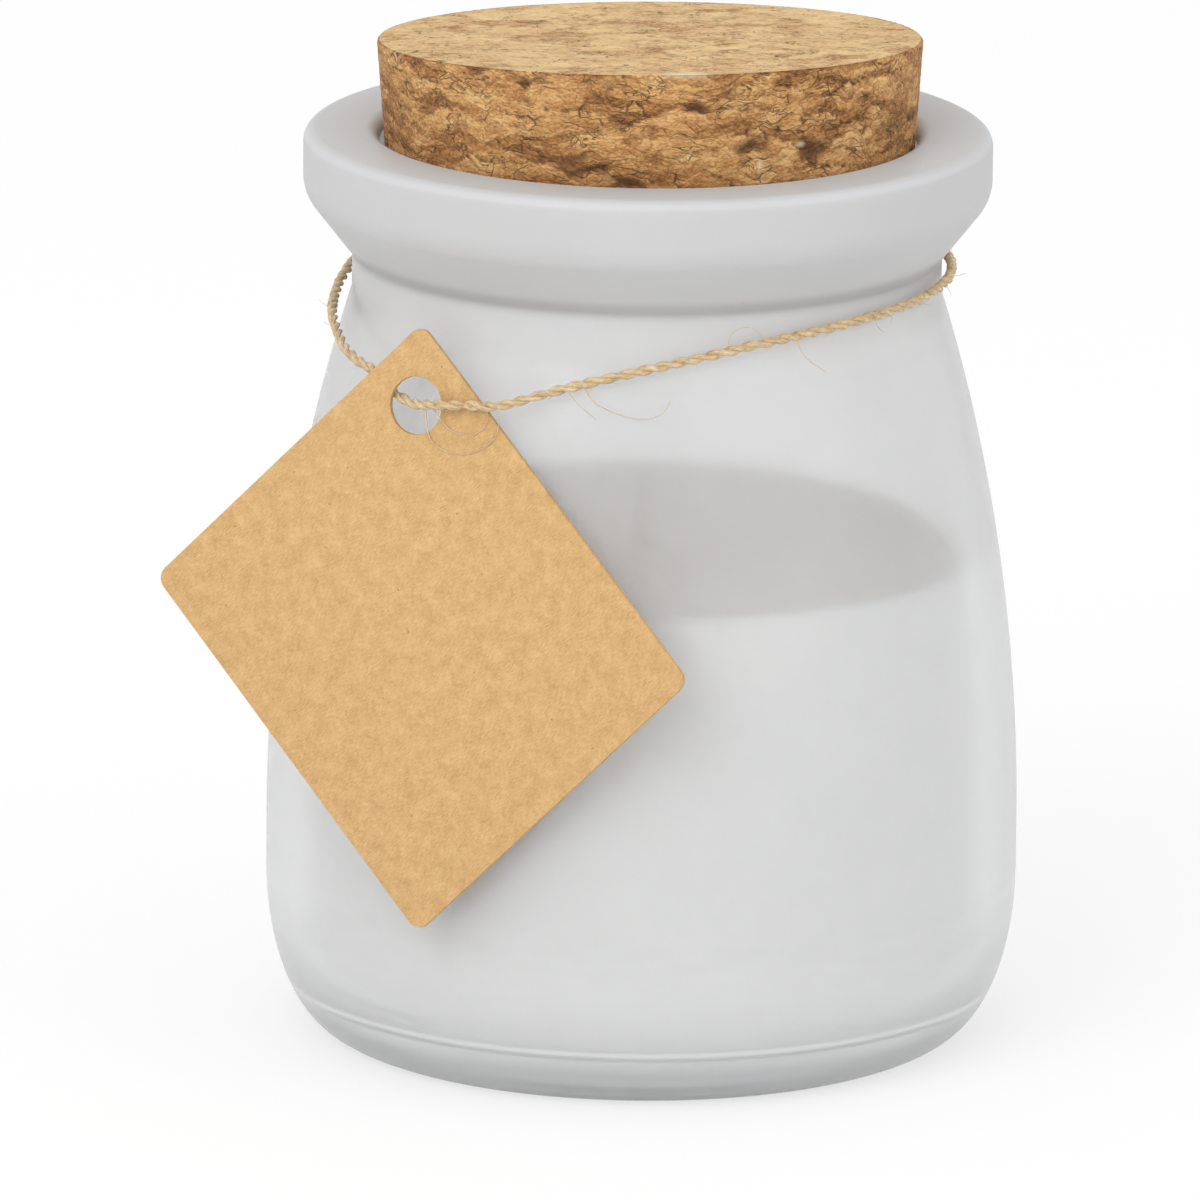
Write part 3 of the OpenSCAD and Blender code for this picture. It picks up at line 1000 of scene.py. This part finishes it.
@dataclass
class Stopper:
    """The cork stopper, pressed in by hand and so leaning a little."""

    jar: Jar
    height: float = 0.018
    proud: float = 0.0079
    taper: float = 4.0
    lean: float = 4.0
    tip: float = 0.5
    shift: float = 0.00015
    clearance: float = 0.0003
    sides: int = 592
    rows_above: int = 50
    rows_below: int = 6
    fine_below_rim: float = 0.0022
    granule: tuple[float, float, float] = (0.0050, 0.0050, 0.0017)
    gap_depth: float = 0.00010
    bulge: float = 0.00004
    edge_r: float = 0.00025
    # Dark patches and pale chips: middle, half width and half height, in millimetres
    STAINS = ((-5.0, -22.8, 80.0, 3.4, 0.45), (-1.6, -23.2, 79.0, 2.4, 0.6),
              (1.2, -23.3, 81.1, 1.3, 0.6), (8.8, -21.4, 81.6, 2.6, 0.9),
              (14.3, -18.4, 81.2, 2.6, 1.3), (-9.5, -21.3, 85.8, 1.1, 0.55),
              (3.8, -23.0, 85.2, 1.0, 0.5), (18.0, -14.6, 84.6, 1.4, 0.5))
    CHIPS = ((3.2, -23.4, 88.1, 2.6, 0.3), (12.9, -19.4, 81.6, 0.6, 0.3),
             (9.4, -21.2, 79.9, 0.22, 0.9))

    def radius_at(self, z: float) -> float:
        """Radius of the stopper at a height."""
        seat = self.jar.height - self.jar.rim_inner
        return self.jar.mouth_r - self.clearance + (z - seat) * math.tan(
            math.radians(self.taper))

    def build(self) -> None:
        """Makes the stopper from a cylinder and grinds its granules."""
        top = self.jar.height + self.proud
        deselect_all()
        bpy.ops.mesh.primitive_cylinder_add(
            vertices=self.sides, radius=1.0, depth=self.height, end_fill_type="NOTHING",
            location=(0, 0, top - self.height / 2))
        cork = bpy.context.object
        cork.name = "cork_stopper_ground"
        settle(cork)
        self._rows(cork)
        self._caps(cork)
        self._shape(cork, top)
        cork.data.transform(Matrix.Translation((self.shift, 0, self.jar.height))
                            @ Matrix.Rotation(math.radians(-self.tip), 4, "Y")
                            @ Matrix.Rotation(math.radians(-self.lean), 4, "X")
                            @ Matrix.Translation((0, 0, -self.jar.height)))
        make_active(cork)
        bpy.ops.object.shade_smooth()
        dress(cork, Cork().make())
        place(cork, "cork", Slot.CORK, "cork_stopper")

    def _rows(self, cork: bpy.types.Object) -> None:
        """Cuts the side into rows of faces."""
        bpy.ops.object.mode_set(mode="EDIT")
        bpy.ops.mesh.select_mode(type="EDGE")
        bpy.ops.mesh.select_all(action="DESELECT")
        bpy.ops.object.mode_set(mode="OBJECT")
        points = cork.data.vertices
        for edge in cork.data.edges:
            a, b = (points[i].co for i in edge.vertices)
            edge.select = abs(a.z - b.z) > self.height / 2
        bpy.ops.object.mode_set(mode="EDIT")
        bpy.ops.mesh.subdivide(number_cuts=self.rows_above + self.rows_below - 1)

    def _caps(self, cork: bpy.types.Object) -> None:
        """Closes both ends with an even grid."""
        for end in (max, min):
            bpy.ops.mesh.select_all(action="DESELECT")
            bpy.ops.object.mode_set(mode="OBJECT")
            level = end(v.co.z for v in cork.data.vertices)
            for edge in cork.data.edges:
                edge.select = all(abs(cork.data.vertices[i].co.z - level) < 1e-7
                                  for i in edge.vertices)
            bpy.ops.object.mode_set(mode="EDIT")
            bpy.ops.mesh.fill_grid(span=self.sides // 4)
        bpy.ops.mesh.select_all(action="SELECT")
        bpy.ops.mesh.normals_make_consistent(inside=False)
        bpy.ops.object.mode_set(mode="OBJECT")

    def _shape(self, cork: bpy.types.Object, top: float) -> None:
        """Gives rows and caps their real place, then presses the granules in.

        Args:
            cork: The piece, still of radius 1.
            top: Height of its upper face.
        """
        mesh = cork.data
        low = top - self.height
        share = self.rows_below / (self.rows_above + self.rows_below)
        fine = self.proud + self.fine_below_rim
        tones, gaps_and_shadows, tops, chips = [], [], [], []
        for vertex in mesh.vertices:
            level = (vertex.co.z - low) / self.height
            if level < share:
                z = low + (self.height - fine) * level / share
            else:
                z = top - fine * (1 - level) / (1 - share)
            reach = min(1.0, Vector((vertex.co.x, vertex.co.y)).length)
            on_side = reach > 0.9999
            across = Vector((vertex.co.x, vertex.co.y, 0.0))
            base = across * self.radius_at(z)
            base.z = z
            away = across.normalized() if on_side else Vector((0, 0, 1 if z > top - MM else -1))
            tone, gap, press = self._granule(base)
            on_top = 0.0 if on_side else 1.0
            if on_side:
                edge = min(top - z, z - low)
                if edge < self.edge_r:
                    base -= away * self.edge_r * (1 - edge / self.edge_r) ** 2 * 0.7
                depth = press
            else:
                edge = self.radius_at(z) * (1 - reach)
                depth = press * 0.55
            vertex.co = base + away * depth
            tones.append(tone)
            gaps_and_shadows.append(gap)
            tops.append(on_top)
            chips.append(self._patch(base, self.CHIPS))
        for name, values in (("tone", tones), ("gap", gaps_and_shadows), ("top", tops), ("chip", chips)):
            layer = mesh.attributes.new(name, "FLOAT", "POINT")
            layer.data.foreach_set("value", values)
        mesh.update()

    def _granule(self, p: Vector) -> tuple[float, float, float]:
        """Looks up the granule at a point.

        Args:
            p: The point on the plain stopper.

        Returns:
            The granule's tone, painted lighter towards the top of each flake, how much the point
            lies in a gap or in the painted shadow under a flake, both from 0 to 1, and how far
            the surface stands out there.
        """
        swirl = (noise.noise_vector(p * 190.0) * 0.0022 + noise.noise_vector(p * 520.0) * 0.0010
                 + noise.noise_vector(p * 1400.0) * 0.0004)
        q = p + Vector((swirl.x, swirl.y, swirl.z * 0.4))
        cell = Vector((q.x / self.granule[0], q.y / self.granule[1], q.z / self.granule[2]))
        tone, gap, above = self._flake(cell, 0.13)
        little, small_joint_and_shadow, over = self._flake(cell * 2.1 + Vector((9.1, 4.7, 2.2)), 0.12)
        stain = self._patch(q, self.STAINS)
        # Each flake is painted lighter towards its top, as light from above; the stains darken it.
        tone = 0.5 * tone + 0.38 * little + 0.14 * above + 0.08 * over + 0.05 - 0.5 * stain
        tone = min(1.0, max(0.0, tone))
        worn = 0.55 + 1.4 * noise.noise(p * 330.0)
        # The gap holds the dark joints, the painted shadow under each flake and the stains.
        gap = min(1.0, max(0.0, gap * worn + 0.7 * small_joint_and_shadow * (1.1 - worn), 0.95 * stain))
        press = (tone - 0.6) * self.bulge - gap * self.gap_depth
        press += noise.noise(p * 1500.0) * 0.00003
        return tone, gap, press

    @staticmethod
    def _patch(p: Vector, patches: Sequence[Sequence[float]]) -> float:
        """Tells how much a point lies in one of the patches, from 0 to 1.

        Args:
            p: The point.
            patches: Middle, half width and half height of each patch, in millimetres.
        """
        best = 0.0
        for x, y, z, wide, high in patches:
            away = Vector((p.x / MM - x, p.y / MM - y, 0)).length / wide
            best = max(best, 1.5 - 1.5 * math.hypot(away, (p.z / MM - z) / high))
        return min(1.0, best)

    @staticmethod
    def _flake(cell: Vector, width: float) -> tuple[float, float, float]:
        """Looks up one size of flake.

        Args:
            cell: The point, in flakes.
            width: Width of the dark joint round a flake, in flakes.

        Returns:
            The flake's tone and how much the point lies in its dark joint, which is drawn mostly
            under the flake as painted shadow, both from 0 to 1, and how far above the flake's
            middle it lies.
        """
        near, places = noise.voronoi(cell)
        seed = places[0]
        tone = math.modf(abs(math.sin(seed.x * 12.99 + seed.y * 78.23 + seed.z * 37.72)
                             * 43758.5))[0]
        above = max(-1.0, min(1.0, 1.6 * (cell.z - seed.z)))
        # The joint is drawn mostly along the flake's lower edge, as painted shadow under it.
        joint_and_shadow = max(0.0, 1.0 - (near[1] - near[0]) / width) * max(0.1, min(1.0, 0.35 - above))
        return tone, joint_and_shadow, above


@dataclass
class Card:
    """The hang tag, with its punched hole at the local origin."""

    width: float = 0.0345
    length: float = 0.0395
    thick: float = 0.0005
    corner_r: float = 0.0012
    hole_d: float = 0.005
    inset: float = 0.005
    edge_r: float = 0.00007
    hole_at: Vector = Vector((-0.0196728, -0.0223018, 0.0605))
    azimuth: float = 28.0
    lean: float = 9.0
    turn: float = 46.0

    def place_matrix(self) -> Matrix:
        """Gives the card's place on the jar."""
        return (Matrix.Translation(self.hole_at)
                @ Matrix.Rotation(math.radians(-self.azimuth), 4, "Z")
                @ Matrix.Rotation(math.radians(90 - self.lean), 4, "X")
                @ Matrix.Rotation(math.radians(self.turn), 4, "Z"))

    def point(self, right: float, up: float, out: float) -> Vector:
        """Gives a point near the hole, by its distance right, up and out of the card."""
        flat = (Matrix.Rotation(math.radians(-self.azimuth), 3, "Z")
                @ Matrix.Rotation(math.radians(90 - self.lean), 3, "X"))
        return self.hole_at + flat @ Vector((right, up, out))

    def build(self) -> bpy.types.Object:
        """Cuts the card, punches it and rounds its edges.

        Returns:
            The piece.
        """
        deselect_all()
        middle = (self.inset - self.width / 2, self.inset - self.length / 2, 0)
        bpy.ops.mesh.primitive_cube_add(size=1.0, location=middle,
                                        scale=(self.width, self.length, self.thick))
        card = bpy.context.object
        card.name = "kraft_tag"
        settle(card)
        self._round_corners(card)
        self._punch(card)
        self._soften(card)
        layer = card.data.uv_layers.active or card.data.uv_layers.new(name="Card")
        layer.name = "Card"
        for loop, uv in zip(card.data.loops, layer.data):
            at = card.data.vertices[loop.vertex_index].co
            uv.uv = (at.x * 100, at.y * 100 + at.z * 100)
        card.data.transform(self.place_matrix())
        dress(card, KraftCard().make())
        place(card, "tag", Slot.CARD, "hang_tag")
        return card

    def _round_corners(self, card: bpy.types.Object) -> None:
        """Rounds the four upright edges."""
        bpy.ops.object.mode_set(mode="EDIT")
        bpy.ops.mesh.select_mode(type="EDGE")
        bpy.ops.mesh.select_all(action="DESELECT")
        bpy.ops.object.mode_set(mode="OBJECT")
        for edge in card.data.edges:
            a, b = (card.data.vertices[i].co for i in edge.vertices)
            edge.select = abs(a.z - b.z) > self.thick / 2
        bpy.ops.object.mode_set(mode="EDIT")
        bpy.ops.mesh.bevel(offset=self.corner_r, segments=8, affect="EDGES")
        bpy.ops.object.mode_set(mode="OBJECT")

    def _punch(self, card: bpy.types.Object) -> None:
        """Punches the hole."""
        deselect_all()
        bpy.ops.mesh.primitive_cylinder_add(vertices=96, radius=self.hole_d / 2,
                                            depth=self.thick * 4, location=(0, 0, 0))
        cutter = bpy.context.object
        make_active(card)
        cut = card.modifiers.new("punch", "BOOLEAN")
        cut.object = cutter
        cut.solver = "EXACT"
        bpy.ops.object.modifier_apply(modifier=cut.name)
        bpy.data.objects.remove(cutter)

    def _soften(self, card: bpy.types.Object) -> None:
        """Rounds the cut edges a little."""
        make_active(card)
        soft = card.modifiers.new("soft_edges", "BEVEL")
        soft.width = self.edge_r
        soft.segments = 2
        soft.limit_method = "ANGLE"
        soft.angle_limit = math.radians(50)
        bpy.ops.object.modifier_apply(modifier=soft.name)
        bpy.ops.object.shade_smooth_by_angle(angle=math.radians(35))


@dataclass
class Twine:
    """The two-ply twine, its knot and its loose fibres."""

    jar: Jar
    card: Card
    diameter: float = 0.0009
    ply_r: float = 0.00025
    ply_out: float = 0.00021
    pitch: float = 0.0031
    # Round the neck: azimuth, distance out from the neck, distance below the lip
    right: tuple = (
        (177, 0.0015, 0.001), (167, 0.0011, 0.0009), (154, 0.0009, 0.0008),
        (140, 0.0009, 0.0008), (125, 0.0009, 0.0008), (110, 0.0009, 0.0008),
        (95, 0.0009, 0.0008), (80, 0.0009, 0.0008), (68, 0.0009, 0.0009),
        (56, 0.0009, 0.0011), (44, 0.0009, 0.0013), (32, 0.0009, 0.0017),
        (20, 0.001, 0.0023), (8, 0.0012, 0.0033), (-4, 0.0015, 0.0045),
        (-15, 0.0022, 0.0059))
    # Near the card: distance right, up and out from the middle of the hole
    by_card: tuple = (
        (0.0085, 0.001, 0.0008), (0.0055, 0.0007, 0.001), (0.0026, 0.0004, 0.00095),
        (0, 0.0001, 0), (-0.0025, 0.0006, -0.00095), (-0.0048, 0.0022, -0.0012),
        (-0.0086, 0.0033, -0.0032))
    left: tuple = (
        (-67, 0.0032, 0.005), (-77, 0.0023, 0.0041), (-88, 0.0015, 0.0037),
        (-98, 0.0011, 0.003), (-108, 0.0009, 0.0022), (-120, 0.0009, 0.0015),
        (-132, 0.0009, 0.0011), (-144, 0.0009, 0.0009), (-156, 0.0009, 0.0008),
        (-167, 0.0011, 0.0009), (-177, 0.0015, 0.001))
    tail_right: tuple = ((177, 0.0029, 0.003), (175, 0.0031, 0.005),
                         (172, 0.0036, 0.0076), (170, 0.0044, 0.0096))
    tail_left: tuple = ((-177, 0.0028, 0.003), (-176, 0.003, 0.0046),
                        (-174, 0.0034, 0.0064), (-170, 0.0042, 0.008))
    knot_at: tuple = (180, 0.0019, 0.0011)
    length: float = 0.1704

    def round_neck(self, at: Sequence[float]) -> Vector:
        """Gives a point by its azimuth, distance out from the neck and below the lip."""
        azimuth, radius = math.radians(at[0]), self.jar.neck_r + at[1]
        return Vector((radius * math.sin(azimuth), -radius * math.cos(azimuth),
                       self.jar.lip_z - at[2]))

    def build(self, tag: bpy.types.Object) -> None:
        """Lays the twine, ties it and lets fibres stand off it.

        Args:
            tag: The card that hangs on it, which is not used.
        """
        points = ([self.round_neck(p) for p in self.right]
                  + [self.card.point(*p) for p in self.by_card]
                  + [self.round_neck(p) for p in self.left])
        route = resample(smooth_route(points, 8), 0.00028)
        finish = Jute().make()
        strands = Strands()
        self._lay(strands, route)
        loop = strands.build("twine_two_ply")
        dress(loop, finish)
        knot = self._tie(finish)
        fuzz = self._fuzz(route, Jute(dark=(0.46, 0.32, 0.17), straw=(0.68, 0.52, 0.31),
                                      pale=(0.84, 0.71, 0.50)).make())
        place(loop, "twine", Slot.TWINE, "twine_loop")
        place(knot, "twine", Slot.TWINE, "twine_knot")
        place(fuzz, "twine", Slot.TWINE)
        log.info("twine is %.1f mm long", route_length(route) / MM)

    def _lay(self, strands: Strands, route: Sequence[Vector]) -> None:
        """Twists two plies round a route.

        Args:
            strands: Where the plies go.
            route: The middle of the twine, in even steps.
        """
        step = route_length(route) / (len(route) - 1)
        last = len(route) - 1
        for side in (0.0, math.pi):
            across = Vector((0.31, 0.77, 0.56))
            ply = []
            for i, middle in enumerate(route):
                along = (route[min(i + 1, last)] - route[max(i - 1, 0)]).normalized()
                across = (across - along * across.dot(along)).normalized()
                third = along.cross(across)
                wander = noise.noise(middle * 300.0) * 0.6
                turn = math.tau * i * step / self.pitch + side + wander
                ply.append(middle + self.ply_out * (across * math.cos(turn)
                                                    + third * math.sin(turn)))
            lumps = [1 + 0.22 * noise.noise(p * 420.0 + Vector((side, 0, 0))) for p in ply]

            def thickness(t: float, lumps: list[float] = lumps) -> float:
                """Radius of the ply, a little uneven."""
                return self.ply_r * lumps[round(t * (len(lumps) - 1))]

            strands.add(ply, thickness, 10, side * 5)

    def _tie(self, finish: bpy.types.Material) -> bpy.types.Object:
        """Ties the two ends in a reef knot behind the jar.

        Args:
            finish: The twine's material.

        Returns:
            The knot with its two tails.
        """
        middle = self.round_neck(self.knot_at)
        bight = ((1.9, 0.1, 0.35), (1.1, -0.35, 0.3), (0.1, 0.3, 0.6), (-1.0, 0.55, 0.75),
                 (-1.55, 0.5, 0.0), (-1.0, 0.55, -0.75), (0.1, -0.4, -0.6),
                 (1.1, -0.35, -0.35), (1.9, 0.1, -0.7))
        strands = Strands()
        for way, tail in ((1, self.tail_right), (-1, self.tail_left)):
            twist = 1 if way == 1 else -1
            points = [middle + Vector((way * x, y if abs(x) > 0.5 else twist * y, z)) * MM
                      for x, y, z in bight]
            points += [self.round_neck(p) for p in tail]
            self._lay(strands, resample(smooth_route(points, 8), 0.00028))
        knot = strands.build("twine_reef_knot")
        dress(knot, finish)
        return knot

    def _fuzz(self, route: Sequence[Vector], finish: bpy.types.Material) -> bpy.types.Object:
        """Lets loose fibres stand off the twine.

        Args:
            route: The middle of the twine.
            finish: The twine's material.

        Returns:
            All fibres as one piece.
        """
        draw = random.Random(7)
        strands = Strands()
        for _ in range(90):
            i = draw.randrange(4, len(route) - 4)
            along = (route[i + 1] - route[i - 1]).normalized()
            out = Vector((route[i].x, route[i].y, 0)).normalized()
            side = (out * draw.uniform(0.1, 1.0) + UP * draw.uniform(-1, 1)).normalized()
            reach = draw.uniform(0.3, 1.3) * MM
            run = draw.choice((-1, 1)) * draw.uniform(0.6, 2.6) * MM
            points = [route[i], route[i] + side * reach * 0.6 + along * run * 0.35,
                      route[i] + side * reach + along * run]
            strands.add(smooth_route(points, 5), lambda t: 0.00003 * (1.1 - 0.7 * t), 4)
        for root_x, bends in self.HAIRS:
            front = [p for p in route if p.y < 0]
            root = min(front, key=lambda p: abs(p.x - root_x))
            points = [root + Vector(bend) * MM for bend in bends]
            strands.add(smooth_route(points, 6), lambda t: 0.00004 * (1.1 - 0.5 * t), 5)
        for bends in self.CARD_HAIRS:
            points = [self.card.point(*(c * MM for c in bend)) for bend in bends]
            strands.add(smooth_route(points, 6), lambda t: 0.00005 * (1.1 - 0.4 * t), 5)
        fuzz = strands.build("twine_fibres")
        dress(fuzz, finish)
        return fuzz

    # Long fibres: where each leaves the twine, then its bends in millimetres from there
    HAIRS = (
        (-0.0055, ((0, 0, 0), (1.2, -0.4, -1.7), (4.6, -0.5, -2.9), (6.6, -0.5, -2.5),
                   (7.4, -0.4, -1.4))),
        (-0.0068, ((0, 0, 0), (0.8, -0.5, -1.2), (2.4, -0.4, -2.6))),
        (0.0067, ((0, 0, 0), (0.5, -0.3, 1.7), (2.0, -0.2, 2.2), (3.3, 0.1, 1.1))),
        (0.0126, ((0, 0, 0), (0.9, -0.3, -1.7), (2.8, 0.1, -3.2))),
        (0.0195, ((0, 0, 0), (0.4, -0.1, -0.9), (1.0, 0.3, -1.5))),
    )
    # Fibres on the card: their bends right, up and out from the hole, in millimetres
    CARD_HAIRS = (
        ((1.2, -0.4, 0.6), (2.0, -3.0, 0.34), (5.2, -3.6, 0.32), (7.9, -2.0, 0.34),
         (8.4, 0.4, 0.8)),
        ((2.0, 0.0, 0.8), (3.6, -1.7, 0.34), (5.6, -1.9, 0.32), (7.0, -0.9, 0.4),
         (7.3, 0.9, 0.9)),
    )


def main() -> None:
    """Makes the camera, the object and the studio."""
    logging.basicConfig(level=logging.INFO, format="%(name)s: %(message)s")
    Camera().build()
    jar = Jar()
    card = Card()
    tag = card.build()
    Twine(jar, card).build(tag)
    jar.build()
    Candle(jar).build()
    Stopper(jar).build()
    Studio().build()


if __name__ == "__main__":
    main()
